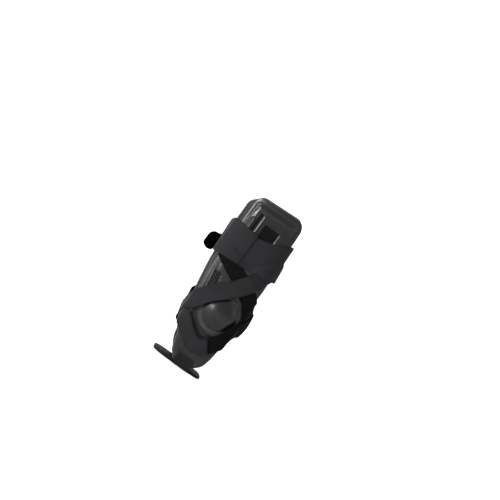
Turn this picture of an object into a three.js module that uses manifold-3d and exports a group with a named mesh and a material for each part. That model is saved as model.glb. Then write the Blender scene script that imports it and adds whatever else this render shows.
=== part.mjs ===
// An ankle brace: two padded side shells that stand on a heel plate, a wide calf strap round their tops,
// and three narrower straps that cross at the heel and over the instep.
// Millimetres. X points to the toe end, Y to the inner (medial) side, Z up. The heel plate stands on Z = 0.
import * as THREE from "three";
import { mergeVertices } from "three/addons/utils/BufferGeometryUtils.js";
import Module from "manifold-3d";

// Driving sizes of the shells
const shellHeight = 258; // from the top of the heel plate to the mean top edge
const shellHalfWidth = 44; // half of the widest front to back size
const shellWall = 2.6;
const shellTopTilt = 5; // how much higher the front end of the top edge is
const shellCornerRadius = 15;
const shellSetForward = 0.5; // how far the shells stand forward of the heel plate's middle
const shellReach = 50; // half of the depth of the oval that the shells are curved to
const ovalPower = 3; // 2 is an ellipse, more is squarer

// Distance between the shells
const heelHalfSpan = 34.5; // outer face of a shell from the middle plane, at the heel plate
const topHalfSpan = 55.5; // the same at the top edge

// The bulge over the ankle bone
const bulgeRadius = 29;
const bulgeHeight = 12;
const bulgeBlend = 5; // softness of the crease round its foot
const bulgeX = 7;
const bulgeZ = 94.5;

// Padding inside the shells
const linerWall = 4.5;
const linerMargin = 2; // how far the padding stands out beyond the shell's edge
const linerGap = 0.95;

// Heel plate
const plateLength = 79;
const plateWidth = 66;
const plateThickness = 4.2;
const platePlanPower = 4;
const earLength = 26;
const earMiddleX = 4;
const earHeight = 16.5;
const earWall = 2.2;

// Straps
const calfStrapWall = 3;
const heelStrapWall = 2;
const crossStrapWall = 1.6;
const heelStrapWidth = 24.5;
const crossStrapWidth = 23;
const calfStrapMiddleZ = 195; // its middle height at X = 0
const calfStrapBreadth = 53;
const calfStrapRise = 0.14; // its climb toward the front, for each millimetre of X
const calfStrapFlare = 0.04; // how much broader it gets toward the front, for each millimetre of X
const freeEndLift = 15; // how far the free end of the inner cross strap stands off behind the calf
const freeEndLength = 34; // the length over which it lifts off
const strapEndRound = 9;
const strapSeat = 1.75; // clearance between the shells and the narrow straps on them
const calfStrapSeat = 3.9; // the same for the calf strap
const innerCrossEase = 0.2; // how much looser the inner cross strap lies
const edgeSeat = 3; // how far past a shell's edge the straps keep its curve
const edgeOutlook = 10; // height above and below, in which they also clear the shell's edge
const strapGap = 1.3; // clearance between straps that cross
const crossingRamp = 9; // length over which a strap climbs onto another
const pieceGap = 0.3;

// Outline of a shell seen from the side: height is a share of shellHeight, rear and front of shellHalfWidth
const shellOutline = [
  { height: 0.0, rear: -0.205, front: 0.386 },
  { height: 0.014, rear: -0.28, front: 0.42 },
  { height: 0.024, rear: -0.31, front: 0.51 },
  { height: 0.041, rear: -0.365, front: 0.62 },
  { height: 0.06, rear: -0.443, front: 0.693 },
  { height: 0.091, rear: -0.534, front: 0.75 },
  { height: 0.13, rear: -0.602, front: 0.795 },
  { height: 0.157, rear: -0.68, front: 0.814 },
  { height: 0.196, rear: -0.76, front: 0.83 },
  { height: 0.266, rear: -0.82, front: 0.84 },
  { height: 0.343, rear: -0.88, front: 0.845 },
  { height: 0.463, rear: -1.0, front: 0.86 },
  { height: 0.607, rear: -1.114, front: 0.877 },
  { height: 0.66, rear: -1.12, front: 0.84 },
  { height: 0.74, rear: -1.13, front: 0.78 },
  { height: 0.85, rear: -1.136, front: 0.75 },
  { height: 0.909, rear: -1.136, front: 0.735 },
  { height: 1.0, rear: -1.136, front: 0.7 },
];

// Spread of the shells: height is a share of shellHeight, span the share of the way from heelHalfSpan to topHalfSpan
const shellSpread = [
  { height: 0.0, span: 0.0 },
  { height: 0.1, span: 0.1 },
  { height: 0.22, span: 0.19 },
  { height: 0.37, span: 0.33 },
  { height: 0.57, span: 0.52 },
  { height: 0.76, span: 0.74 },
  { height: 1.0, span: 1.0 },
];

// The hollow form that the straps go round between the shells: height is a share of shellHeight,
// rear and front are shares of shellHalfWidth, side is a share of the shells' half span
const legOutline = [
  { height: 0.0, rear: -0.78, front: 0.8, side: 0.7 },
  { height: 0.21, rear: -0.82, front: 0.9, side: 0.75 },
  { height: 0.28, rear: -0.86, front: 1.06, side: 0.78 },
  { height: 0.345, rear: -0.93, front: 1.13, side: 0.8 },
  { height: 0.4, rear: -0.94, front: 1.12, side: 0.8 },
  { height: 0.46, rear: -0.97, front: 1.04, side: 0.8 },
  { height: 0.51, rear: -1.0, front: 0.9, side: 0.8 },
  { height: 0.66, rear: -1.13, front: 0.83, side: 0.82 },
  { height: 0.74, rear: -1.17, front: 0.8, side: 0.82 },
  { height: 0.86, rear: -1.2, front: 0.7, side: 0.82 },
  { height: 1.0, rear: -1.22, front: 0.7, side: 0.82 },
];

// Routes of the straps' middle lines. Across is a share of shellHalfWidth on a side and is not used at the front
// and the rear, height is a share of shellHeight, and width a share of the strap's own width.
const heelStrapClimb = [
  { place: "lateral", across: 0.3, height: 0.122, width: 0.86 },
  { place: "lateral", across: 0.0, height: 0.131, width: 0.86 },
  { place: "lateral", across: -0.28, height: 0.155, width: 0.86 },
  { place: "lateral", across: -0.6, height: 0.2, width: 0.9 },
  { place: "lateral", across: -0.87, height: 0.235, width: 0.95 },
  { place: "rear", across: 0, height: 0.27, width: 1 },
  { place: "medial", across: -0.87, height: 0.318, width: 1 },
  { place: "medial", across: -0.55, height: 0.39, width: 1 },
  { place: "medial", across: -0.25, height: 0.45, width: 1 },
  { place: "medial", across: 0.0, height: 0.492, width: 1 },
  { place: "medial", across: 0.31, height: 0.562, width: 1 },
  { place: "medial", across: 0.58, height: 0.64, width: 1 },
  { place: "medial", across: 0.8, height: 0.69, width: 1 },
];
const shinCrossing = { place: "front", across: 0, height: 0.72, width: 1 };

const crossStrapTop = [
  { across: -0.95, height: 0.645, width: 1 },
  { across: -0.62, height: 0.612, width: 1 },
  { across: -0.23, height: 0.58, width: 1 },
  { across: 0.31, height: 0.533, width: 0.96 },
  { across: 0.61, height: 0.503, width: 0.94 },
  { across: 0.84, height: 0.472, width: 0.92 },
];
const instepCrossing = { place: "front", across: 0, height: 0.352, width: 1 };
const crossStrapFoot = [
  { across: 0.82, height: 0.257, width: 0.9 },
  { across: 0.62, height: 0.212, width: 0.86 },
  { across: 0.32, height: 0.15, width: 0.86 },
];
const calfCrossing = [
  { place: "medial", across: -1.0, height: 0.66, width: 1.06 },
  { place: "rear", across: 0, height: 0.668, width: 1.12 },
  { place: "lateral", across: -1.08, height: 0.668, width: 1.12 },
];

// Which strap lies over which, and where a pair crosses more than once, on which side (Y below or above 0)
const crossings = [
  { over: "heel_strap_climb", under: "outer_cross_strap", side: 0 },
  { over: "heel_strap_climb", under: "inner_cross_strap", side: -1 },
  { over: "heel_strap_return", under: "outer_cross_strap", side: 0 },
  { over: "heel_strap_return", under: "heel_strap_climb", side: 0 },
  { over: "calf_strap", under: "outer_cross_strap", side: 0 },
  { over: "calf_strap", under: "heel_strap_climb", side: 0 },
  { over: "calf_strap", under: "heel_strap_return", side: 0 },
  { over: "inner_cross_strap", under: "outer_cross_strap", side: 0 },
  { over: "inner_cross_strap", under: "heel_strap_climb", side: 1 },
  { over: "inner_cross_strap", under: "calf_strap", side: 0 },
];

// How finely each piece is meshed
const shellRows = 38;
const shellColumns = 14;
const linerRows = 28;
const linerColumns = 10;
const planPoints = 40;
const strapStep = 6;
const calfStrapSteps = 60;
const angleSteps = 96;
const sectionStep = 5;

// Smooth value of one column of a table at a height share, by a cubic through its rows
function alongRows(rows, column, share) {
  const last = rows.length - 1;
  let i = 0;
  while (i < last - 1 && share > rows[i + 1].height) i += 1;
  const before = rows[Math.max(i - 1, 0)];
  const from = rows[i];
  const to = rows[i + 1];
  const after = rows[Math.min(i + 2, last)];
  const step = to.height - from.height;
  const t = THREE.MathUtils.clamp((share - from.height) / step, 0, 1);
  const slopeFrom = (step * (to[column] - before[column])) / (to.height - before.height);
  const slopeTo = (step * (after[column] - from[column])) / (after.height - from.height);
  const startPart = (1 + 2 * t) * (1 - t) * (1 - t) * from[column] + t * (1 - t) * (1 - t) * slopeFrom;
  return startPart + t * t * (3 - 2 * t) * to[column] - t * t * (1 - t) * slopeTo;
}

const plateTop = plateThickness;
const shellFoot = plateTop + pieceGap;
const shareOfHeight = (z) => (z - shellFoot) / shellHeight;
const shellRear = (z) => shellSetForward + shellHalfWidth * alongRows(shellOutline, "rear", shareOfHeight(z));
const shellFront = (z) => shellSetForward + shellHalfWidth * alongRows(shellOutline, "front", shareOfHeight(z));

// Half span of the shells' outer faces at a height
function halfSpan(z) {
  const share = alongRows(shellSpread, "span", shareOfHeight(z));
  return heelHalfSpan + (topHalfSpan - heelHalfSpan) * share;
}

// Height of the bulge over the ankle bone: a cap of a sphere, blended softly into the face
function bulge(x, z) {
  const sphere = (bulgeRadius * bulgeRadius + bulgeHeight * bulgeHeight) / (2 * bulgeHeight);
  const distance = Math.hypot(x - bulgeX, z - bulgeZ);
  const cap = Math.sqrt(Math.max(sphere * sphere - distance * distance, 0)) - (sphere - bulgeHeight);
  return (cap + Math.hypot(cap, bulgeBlend)) / 2;
}

// Point of the medial shell's outer face; the lateral shell is its mirror image
function shellFace(x, z) {
  const middle = (shellRear(z) + shellFront(z)) / 2;
  const share = Math.min(Math.abs(x - middle) / shellReach, 0.98);
  const y = halfSpan(z) * Math.pow(1 - Math.pow(share, ovalPower), 1 / ovalPower);
  return new THREE.Vector3(x, y + bulge(x, z), z);
}

// Outward direction of that face, from its slopes
function shellNormal(x, z) {
  const step = 0.5;
  const alongX = shellFace(x + step, z).sub(shellFace(x - step, z));
  const alongZ = shellFace(x, z + step).sub(shellFace(x, z - step));
  return alongZ.cross(alongX).normalize();
}

// A point in the shell's outline for the shares u (rear to front) and v (foot to top), grown by a margin.
// The two top corners are rounded by drawing each corner square onto a quarter disc.
function outlinePoint(u, v, margin) {
  const width = 2 * shellHalfWidth;
  const radius = shellCornerRadius + margin;
  let across = u * width;
  let up = v * shellHeight;
  const fromSide = Math.min(across, width - across);
  const fromTop = shellHeight - up;
  if (fromSide < radius && fromTop < radius) {
    const a = 1 - fromSide / radius;
    const b = 1 - fromTop / radius;
    const roundedSide = radius * (1 - a * Math.sqrt(1 - (b * b) / 2));
    across = across < width / 2 ? roundedSide : width - roundedSide;
    up = shellHeight - radius * (1 - b * Math.sqrt(1 - (a * a) / 2));
  }
  const z = shellFoot + up;
  const rear = shellRear(z) - margin;
  const front = shellFront(z) + margin;
  const x = rear + ((front - rear) * across) / width;
  const tilt = shellTopTilt * (across / width - 0.5) * Math.pow(up / shellHeight, 4);
  return { x, z: z + tilt + margin * Math.pow(up / shellHeight, 8) };
}

// Rows are closer together near the foot and the top edge, where the outline turns
const evenRow = (t) => t - 0.05 * Math.sin(2 * Math.PI * t);

// A closed wall between two grids of points, outer and inner, each rows + 1 by columns + 1
function wallBetween(outer, inner) {
  const rows = outer.length - 1;
  const columns = outer[0].length - 1;
  const positions = [...outer.flat(), ...inner.flat()].flatMap((p) => [p.x, p.y, p.z]);
  const layer = (rows + 1) * (columns + 1);
  const at = (side, row, column) => side * layer + row * (columns + 1) + column;
  const indices = [];
  const quad = (a, b, c, d) => indices.push(a, b, c, a, c, d);
  for (let row = 0; row < rows; row += 1) {
    for (let column = 0; column < columns; column += 1) {
      const next = row + 1;
      quad(at(0, row, column), at(0, next, column), at(0, next, column + 1), at(0, row, column + 1));
      quad(at(1, row, column), at(1, row, column + 1), at(1, next, column + 1), at(1, next, column));
    }
    quad(at(0, row, 0), at(1, row, 0), at(1, row + 1, 0), at(0, row + 1, 0));
    quad(at(0, row, columns), at(0, row + 1, columns), at(1, row + 1, columns), at(1, row, columns));
  }
  for (let column = 0; column < columns; column += 1) {
    quad(at(0, 0, column), at(0, 0, column + 1), at(1, 0, column + 1), at(1, 0, column));
    quad(at(0, rows, column), at(1, rows, column), at(1, rows, column + 1), at(0, rows, column + 1));
  }
  const geometry = new THREE.BufferGeometry();
  geometry.setAttribute("position", new THREE.Float32BufferAttribute(positions, 3));
  geometry.setIndex(indices);
  return geometry;
}

// A curved pad or shell of the medial side, between two depths under the shell's outer face
function curvedPad(rows, columns, outerDepth, innerDepth, margin) {
  const grid = (depth) =>
    Array.from({ length: rows + 1 }, (_, row) =>
      Array.from({ length: columns + 1 }, (_, column) => {
        const { x, z } = outlinePoint(column / columns, evenRow(row / rows), margin);
        const face = shellFace(x, z);
        return face.addScaledVector(shellNormal(x, z), -depth);
      }),
    );
  return wallBetween(grid(outerDepth), grid(innerDepth));
}

// The mirror image across the middle plane, with its faces turned back to point outward
function mirrored(geometry) {
  const copy = geometry.clone().scale(1, -1, 1);
  const index = copy.getIndex();
  for (let i = 0; i < index.count; i += 3) {
    const first = index.getX(i);
    index.setX(i, index.getX(i + 1));
    index.setX(i + 1, first);
  }
  return copy;
}

// Corners of the convex outline round a set of points in a level plane, counterclockwise
function convexOutline(points) {
  const sorted = [...points].sort((a, b) => a.x - b.x || a.y - b.y);
  const turn = (a, b, c) => (b.x - a.x) * (c.y - a.y) - (b.y - a.y) * (c.x - a.x);
  const chain = (list) => {
    const kept = [];
    for (const p of list) {
      while (kept.length > 1 && turn(kept[kept.length - 2], kept[kept.length - 1], p) <= 0) kept.pop();
      kept.push(p);
    }
    return kept.slice(0, -1);
  };
  return [...chain(sorted), ...chain(sorted.reverse())];
}

// Distance from the axis to a convex outline along one direction
function reachAlong(outline, axis, angle) {
  const dx = Math.cos(angle);
  const dy = Math.sin(angle);
  let reach = 0;
  outline.forEach((from, i) => {
    const to = outline[(i + 1) % outline.length];
    const ex = to.x - from.x;
    const ey = to.y - from.y;
    const det = ex * dy - ey * dx;
    if (Math.abs(det) < 1e-9) return;
    const along = (ex * (from.y - 0) - ey * (from.x - axis)) / det;
    const share = (dx * from.y - dy * (from.x - axis)) / det;
    if (along > 0 && share >= -1e-6 && share <= 1 + 1e-6) reach = Math.max(reach, along);
  });
  return reach;
}

// The taut form that the straps lie on: at each height the convex outline of both shells and the hollow
const axisX = -0.07 * shellHalfWidth;
const lowestSection = shellFoot + 0.05 * shellHeight;
const sectionCount = Math.floor((0.9 * shellHeight) / sectionStep) + 1;

function tautSection(z) {
  const points = [];
  const stops = 14;
  const near = [z - edgeOutlook, z, z + edgeOutlook];
  const rearEdge = Math.min(...near.map(shellRear)) - edgeSeat;
  const frontEdge = Math.max(...near.map(shellFront)) + edgeSeat;
  for (let i = 0; i <= stops; i += 1) {
    const x = THREE.MathUtils.lerp(rearEdge, frontEdge, i / stops);
    const { y } = shellFace(x, z);
    points.push({ x, y }, { x, y: -y });
  }
  const share = shareOfHeight(z);
  const rear = shellSetForward + shellHalfWidth * alongRows(legOutline, "rear", share);
  const front = shellSetForward + shellHalfWidth * alongRows(legOutline, "front", share);
  const side = halfSpan(z) * alongRows(legOutline, "side", share);
  const around = 28;
  for (let i = 0; i < around; i += 1) {
    const angle = (2 * Math.PI * i) / around;
    const x = (rear + front) / 2 + ((front - rear) / 2) * Math.cos(angle);
    points.push({ x, y: side * Math.sin(angle) });
  }
  const outline = convexOutline(points);
  const reaches = Array.from({ length: angleSteps }, (_, i) =>
    reachAlong(outline, axisX, (2 * Math.PI * i) / angleSteps),
  );
  return reaches.map((_, i) => {
    const near = (k) => reaches[(i + k + angleSteps) % angleSteps];
    const mean = (near(-2) + 2 * near(-1) + 3 * near(0) + 2 * near(1) + near(2)) / 9;
    return Math.max(mean, near(0) - strapSeat / 2);
  });
}

const tautForm = Array.from({ length: sectionCount }, (_, i) => tautSection(lowestSection + i * sectionStep));

// Point of the taut form at an angle in degrees (front 0, medial 90, rear 180, lateral -90) and a height
function tautPoint(angle, z) {
  const row = THREE.MathUtils.clamp((z - lowestSection) / sectionStep, 0, sectionCount - 1.001);
  const turn = (((angle / 360) % 1) + 1) % 1;
  const column = turn * angleSteps;
  const r = Math.floor(row);
  const c = Math.floor(column);
  const value = (i, j) => tautForm[i][j % angleSteps];
  const low = THREE.MathUtils.lerp(value(r, c), value(r, c + 1), column - c);
  const high = THREE.MathUtils.lerp(value(r + 1, c), value(r + 1, c + 1), column - c);
  const reach = THREE.MathUtils.lerp(low, high, row - r);
  const radians = THREE.MathUtils.degToRad(angle);
  return new THREE.Vector3(axisX + reach * Math.cos(radians), reach * Math.sin(radians), z);
}

// The two directions along the taut form, and the one out of it
function tautAxes(angle, z) {
  const turn = 4;
  const step = 3;
  const around = tautPoint(angle + turn, z).sub(tautPoint(angle - turn, z)).divideScalar(2 * turn);
  const up = tautPoint(angle, z + step).sub(tautPoint(angle, z - step)).divideScalar(2 * step);
  const out = around.clone().cross(up).normalize();
  return { around, up, out };
}

// Turns a row of a route into an angle and a height on the taut form
function placeOf(row) {
  const z = shellFoot + row.height * shellHeight;
  if (row.place === "front") return { angle: 0, z };
  if (row.place === "rear") return { angle: 180, z };
  const face = shellFace(shellSetForward + row.across * shellHalfWidth, z);
  const y = row.place === "lateral" ? -face.y : face.y;
  return { angle: THREE.MathUtils.radToDeg(Math.atan2(y, face.x - axisX)), z };
}

// The middle line of a strap in evenly spaced stations, each with its angle, height and width
function stationsOf(route, strapWidth, direction) {
  let last = null;
  const points = route.map((row) => {
    const place = placeOf(row);
    let angle = place.angle;
    while (last !== null && direction * (angle - last) < 0) angle += 360 * direction;
    last = angle;
    return new THREE.Vector3(angle, place.z, row.width * strapWidth);
  });
  const curve = new THREE.CatmullRomCurve3(points, false, "centripetal");
  const count = Math.max(Math.round(curve.getLength() / strapStep), 2);
  return curve.getSpacedPoints(count).map((p) => ({ angle: p.x, z: p.y, width: p.z }));
}

const sided = (rows, place) => rows.map((row) => ({ ...row, place }));
const otherSide = (row) => {
  const opposite = { lateral: "medial", medial: "lateral" };
  return { ...row, place: opposite[row.place] ?? row.place };
};

const heelStrapRoute = [...heelStrapClimb, shinCrossing, ...heelStrapClimb.map(otherSide).reverse()];
const outerCrossRoute = [
  ...sided(crossStrapTop, "lateral"),
  instepCrossing,
  ...sided(crossStrapFoot, "medial"),
];
const innerCrossRoute = [
  ...sided(crossStrapFoot, "lateral").reverse(),
  instepCrossing,
  ...sided(crossStrapTop, "medial").reverse().slice(0, -1),
  ...calfCrossing,
];

const heelStations = stationsOf(heelStrapRoute, heelStrapWidth, -1);
const outerCrossStations = stationsOf(outerCrossRoute, crossStrapWidth, 1);
const innerCrossStations = stationsOf(innerCrossRoute, crossStrapWidth, 1);
const turnOfHeelStrap = heelStations.findIndex((s) => s.angle <= -360);

// Each run of strap that another one may cross, with the points of its middle line
const runOf = (stations, wall) => ({
  wall,
  stations,
  points: stations.map((s) => tautPoint(s.angle, s.z)),
});
const runs = {
  heel_strap_climb: runOf(heelStations.slice(0, turnOfHeelStrap + 1), heelStrapWall),
  heel_strap_return: runOf(heelStations.slice(turnOfHeelStrap), heelStrapWall),
  outer_cross_strap: runOf(outerCrossStations, crossStrapWall),
  inner_cross_strap: runOf(innerCrossStations, crossStrapWall),
};

// Lower and upper edge of the calf strap at a distance toward the front
const calfStrapMiddle = (x) => calfStrapMiddleZ + calfStrapRise * x;
const calfStrapHalf = (x) => (calfStrapBreadth + calfStrapFlare * x) / 2;

// How far a point is from a run's edge, negative on the strap itself
function distanceToRun(run, point) {
  let nearest = Infinity;
  for (let i = 0; i + 1 < run.points.length; i += 1) {
    const segment = new THREE.Line3(run.points[i], run.points[i + 1]);
    const foot = segment.closestPointToPoint(point, true, new THREE.Vector3());
    nearest = Math.min(nearest, foot.distanceTo(point) - run.stations[i].width / 2);
  }
  return nearest;
}

const distanceToCalfStrap = (point) => Math.abs(point.z - calfStrapMiddle(point.x)) - calfStrapHalf(point.x);

// How far a strap is raised at a point by all straps that it lies over there
function raisedBy(name, point) {
  let raise = 0;
  for (const crossing of crossings) {
    if (crossing.over !== name || crossing.side * point.y < 0) continue;
    const isCalf = crossing.under === "calf_strap";
    const calfHeight = calfStrapWall + calfStrapSeat - strapSeat;
    const wall = isCalf ? calfHeight : runs[crossing.under].wall;
    const distance = isCalf ? distanceToCalfStrap(point) : distanceToRun(runs[crossing.under], point);
    const share = 1 - THREE.MathUtils.smoothstep(distance, 1.5, crossingRamp);
    raise += (wall + strapGap) * share;
  }
  return raise;
}

// The closed ring of a strap's section: its outer row, then its inner row back
function ringOf(outer, wall) {
  const inner = outer.map(({ point, out }) => point.clone().addScaledVector(out, -wall));
  return [...outer.map(({ point }) => point), ...inner.reverse()];
}

// A closed body through a row of rings with equal numbers of points, capped at its ends unless it is a loop
function bodyThrough(rings, isLoop) {
  const size = rings[0].length;
  const positions = rings.flat().flatMap((p) => [p.x, p.y, p.z]);
  const indices = [];
  const quad = (a, b, c, d) => indices.push(a, b, c, a, c, d);
  const spans = isLoop ? rings.length : rings.length - 1;
  for (let i = 0; i < spans; i += 1) {
    const here = i * size;
    const there = ((i + 1) % rings.length) * size;
    for (let j = 0; j < size; j += 1) {
      const next = (j + 1) % size;
      quad(here + j, there + j, there + next, here + next);
    }
  }
  if (!isLoop) {
    const end = (rings.length - 1) * size;
    for (let j = 0; j + 1 < size / 2; j += 1) {
      const back = size - 1 - j;
      quad(j, j + 1, back - 1, back);
      quad(end + j, end + back, end + back - 1, end + j + 1);
    }
  }
  const geometry = new THREE.BufferGeometry();
  geometry.setAttribute("position", new THREE.Float32BufferAttribute(positions, 3));
  geometry.setIndex(indices);
  return geometry;
}

// A strap through its stations. nameAt gives the run's name at a station, liftAt an extra lift off the form.
function strapThrough(stations, wall, nameAt, liftAt) {
  const centres = stations.map((s) => tautPoint(s.angle, s.z));
  const total = (stations.length - 1) * strapStep;
  const rings = stations.map((station, i) => {
    const before = centres[Math.max(i - 1, 0)];
    const after = centres[Math.min(i + 1, centres.length - 1)];
    const along = after.clone().sub(before).normalize();
    const { around, up, out } = tautAxes(station.angle, station.z);
    const side = out.clone().cross(along).normalize();
    const fromEnd = Math.min(i * strapStep, total - i * strapStep);
    const rounding = Math.min(fromEnd / strapEndRound, 1);
    const half = (station.width / 2) * (0.6 + 0.4 * Math.sqrt(rounding * (2 - rounding)));
    const outer = [-1, 0, 1].map((share) => {
      const move = side.clone().multiplyScalar(share * half);
      const aa = around.dot(around);
      const au = around.dot(up);
      const uu = up.dot(up);
      const det = aa * uu - au * au;
      const angle = station.angle + (move.dot(around) * uu - move.dot(up) * au) / det;
      const z = station.z + (move.dot(up) * aa - move.dot(around) * au) / det;
      const base = tautPoint(angle, z);
      const direction = tautAxes(angle, z).out;
      const raise = raisedBy(nameAt(i), base);
      const lift = strapSeat + wall + raise + liftAt(i);
      return { point: base.addScaledVector(direction, lift), out: direction };
    });
    return ringOf(outer, wall);
  });
  return bodyThrough(rings, false);
}

function heelStrap() {
  const nameAt = (i) => (i <= turnOfHeelStrap ? "heel_strap_climb" : "heel_strap_return");
  return strapThrough(heelStations, heelStrapWall, nameAt, () => 0);
}

function outerCrossStrap() {
  return strapThrough(outerCrossStations, crossStrapWall, () => "outer_cross_strap", () => 0);
}

function innerCrossStrap() {
  const steps = innerCrossStations.length - 1;
  const liftAt = (i) => {
    const share = Math.max(1 - ((steps - i) * strapStep) / freeEndLength, 0);
    return innerCrossEase + freeEndLift * share * share * (2 - share);
  };
  return strapThrough(innerCrossStations, crossStrapWall, () => "inner_cross_strap", liftAt);
}

// The calf strap is a loop whose edges climb toward the front
function calfStrap() {
  const rings = Array.from({ length: calfStrapSteps }, (_, i) => {
    const angle = (-360 * i) / calfStrapSteps;
    const x = tautPoint(angle, calfStrapMiddleZ).x;
    const outer = [1, 1 / 3, -1 / 3, -1].map((share) => {
      const z = calfStrapMiddle(x) + share * calfStrapHalf(x);
      const base = tautPoint(angle, z);
      const direction = tautAxes(angle, z).out;
      const lift = calfStrapSeat + calfStrapWall + raisedBy("calf_strap", base);
      return { point: base.addScaledVector(direction, lift), out: direction };
    });
    return ringOf(outer, calfStrapWall);
  });
  return bodyThrough(rings, true);
}

// Heel plate: a rounded plate with an ear turned up on each side, outside the shells' feet
const wasm = await Module();
wasm.setup();

function solidOf(geometry) {
  const bare = geometry.clone();
  bare.deleteAttribute("normal");
  bare.deleteAttribute("uv");
  const merged = mergeVertices(bare, 1e-4);
  const vertProperties = new Float32Array(merged.getAttribute("position").array);
  const triVerts = new Uint32Array(merged.getIndex().array);
  return new wasm.Manifold(new wasm.Mesh({ numProp: 3, vertProperties, triVerts }));
}

function geometryOf(solid) {
  const mesh = solid.getMesh();
  const geometry = new THREE.BufferGeometry();
  geometry.setAttribute("position", new THREE.Float32BufferAttribute(mesh.vertProperties, 3));
  geometry.setIndex([...mesh.triVerts]);
  return geometry;
}

function heelPlate() {
  const plan = new THREE.Shape();
  const oval = (cosine) => Math.sign(cosine) * Math.pow(Math.abs(cosine), 2 / platePlanPower);
  for (let i = 0; i < planPoints; i += 1) {
    const angle = (2 * Math.PI * i) / planPoints;
    const x = (plateLength / 2) * oval(Math.cos(angle));
    const y = (plateWidth / 2) * oval(Math.sin(angle));
    if (i === 0) plan.moveTo(x, y);
    else plan.lineTo(x, y);
  }
  const plate = new THREE.ExtrudeGeometry(plan, { depth: plateThickness, bevelEnabled: false });

  // The ears' profile in Y and Z, a channel whose sides lean out with the shells' feet
  const clearFoot = halfSpan(shellFoot) + pieceGap;
  const clearTop = halfSpan(earHeight) + pieceGap;
  const profile = new THREE.Shape();
  profile.moveTo(-clearFoot - earWall, 0);
  profile.lineTo(clearFoot + earWall, 0);
  profile.lineTo(clearTop + earWall, earHeight);
  profile.lineTo(clearTop, earHeight);
  profile.lineTo(clearFoot, plateTop);
  profile.lineTo(-clearFoot, plateTop);
  profile.lineTo(-clearTop, earHeight);
  profile.lineTo(-clearTop - earWall, earHeight);
  profile.closePath();
  const channel = new THREE.ExtrudeGeometry(profile, { depth: earLength, bevelEnabled: false });
  channel.rotateX(Math.PI / 2);
  channel.rotateZ(Math.PI / 2);
  channel.translate(earMiddleX - earLength / 2, 0, 0);
  return geometryOf(solidOf(plate).add(solidOf(channel)));
}

// Materials
const mouldedPlastic = new THREE.MeshStandardMaterial({ color: "#363539", roughness: 0.42, metalness: 0 });
const foamCloth = new THREE.MeshStandardMaterial({ color: "#1f1b1b", roughness: 0.95, metalness: 0 });
const platePlastic = new THREE.MeshStandardMaterial({ color: "#29282b", roughness: 0.6, metalness: 0 });
const charcoalWebbing = new THREE.MeshStandardMaterial({ color: "#2f2e32", roughness: 0.9, metalness: 0 });
const blackWebbing = new THREE.MeshStandardMaterial({ color: "#191718", roughness: 0.92, metalness: 0 });

// Assembly
const brace = new THREE.Group();

function addPiece(name, geometry, material) {
  const mesh = new THREE.Mesh(geometry, material);
  mesh.name = name;
  brace.add(mesh);
}

const medialShell = curvedPad(shellRows, shellColumns, 0, shellWall, 0);
const linerOuter = shellWall + linerGap;
const medialLiner = curvedPad(linerRows, linerColumns, linerOuter, linerOuter + linerWall, linerMargin);
addPiece("medial_shell", medialShell, mouldedPlastic);
addPiece("lateral_shell", mirrored(medialShell), mouldedPlastic);
addPiece("medial_liner", medialLiner, foamCloth);
addPiece("lateral_liner", mirrored(medialLiner), foamCloth);
addPiece("heel_plate", heelPlate(), platePlastic);
addPiece("calf_strap", calfStrap(), charcoalWebbing);
addPiece("heel_strap", heelStrap(), charcoalWebbing);
addPiece("outer_cross_strap", outerCrossStrap(), blackWebbing);
addPiece("inner_cross_strap", innerCrossStrap(), blackWebbing);

export default brace;
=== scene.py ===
"""Looks of an ankle brace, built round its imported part: two moulded side shells with padding, a heel plate,
a wide calf strap and three narrower straps. Shapes are worked out in millimetres and written in metres.
X points to the toe end, Y to the inner side, Z up. The heel plate stands on Z = 0."""
import math

import bpy
import numpy as np
from mathutils import Matrix, Vector


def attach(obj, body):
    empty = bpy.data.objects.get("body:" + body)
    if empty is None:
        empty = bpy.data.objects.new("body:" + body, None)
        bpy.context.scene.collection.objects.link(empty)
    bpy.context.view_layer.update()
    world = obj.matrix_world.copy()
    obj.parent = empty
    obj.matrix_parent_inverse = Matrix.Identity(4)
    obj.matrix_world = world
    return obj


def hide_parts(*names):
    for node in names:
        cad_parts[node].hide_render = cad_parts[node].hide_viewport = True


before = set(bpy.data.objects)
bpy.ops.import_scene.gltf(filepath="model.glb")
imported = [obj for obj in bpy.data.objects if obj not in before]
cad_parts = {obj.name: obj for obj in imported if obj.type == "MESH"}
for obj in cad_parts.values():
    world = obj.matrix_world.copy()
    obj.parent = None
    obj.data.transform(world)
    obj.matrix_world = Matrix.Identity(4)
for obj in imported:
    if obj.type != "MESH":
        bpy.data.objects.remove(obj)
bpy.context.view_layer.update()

MM = 0.001

# Driving sizes, most of them the same as the part's
shell_height = 258
shell_half_width = 44
shell_wall = 2.6
shell_top_tilt = 5
shell_corner_radius = 15
shell_set_forward = 0.5
shell_reach = 50
oval_power = 3
heel_half_span = 34.5
top_half_span = 55.5
bulge_radius = 29
bulge_height = 12
bulge_blend = 1.2
bulge_x = 6.5
bulge_z = 93.5
plate_length = 79
plate_width = 66
plate_thickness = 4.2
plate_power = 4
ear_length = 26
ear_middle_x = 4.5
ear_height = 16.5
ear_wall = 2.2
liner_wall = 4.5
liner_margin = 1.6
liner_gap = 0.3
heel_strap_width = 24.5
cross_strap_width = 23
heel_strap_wall = 1.9
cross_strap_wall = 1.5
calf_strap_wall = 2.8
calf_strap_middle_z = 192.0
strap_seat = 0.5
strap_gap = 0.35
crossing_ramp = 7
free_end_lift = 17
free_end_length = 30
free_end_rounding = 12.5
lap_edge_x = -14.8
lap_rise = 3.4
lap_step = 1.1
piece_gap = 0.3
shell_foot = plate_thickness + piece_gap

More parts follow.
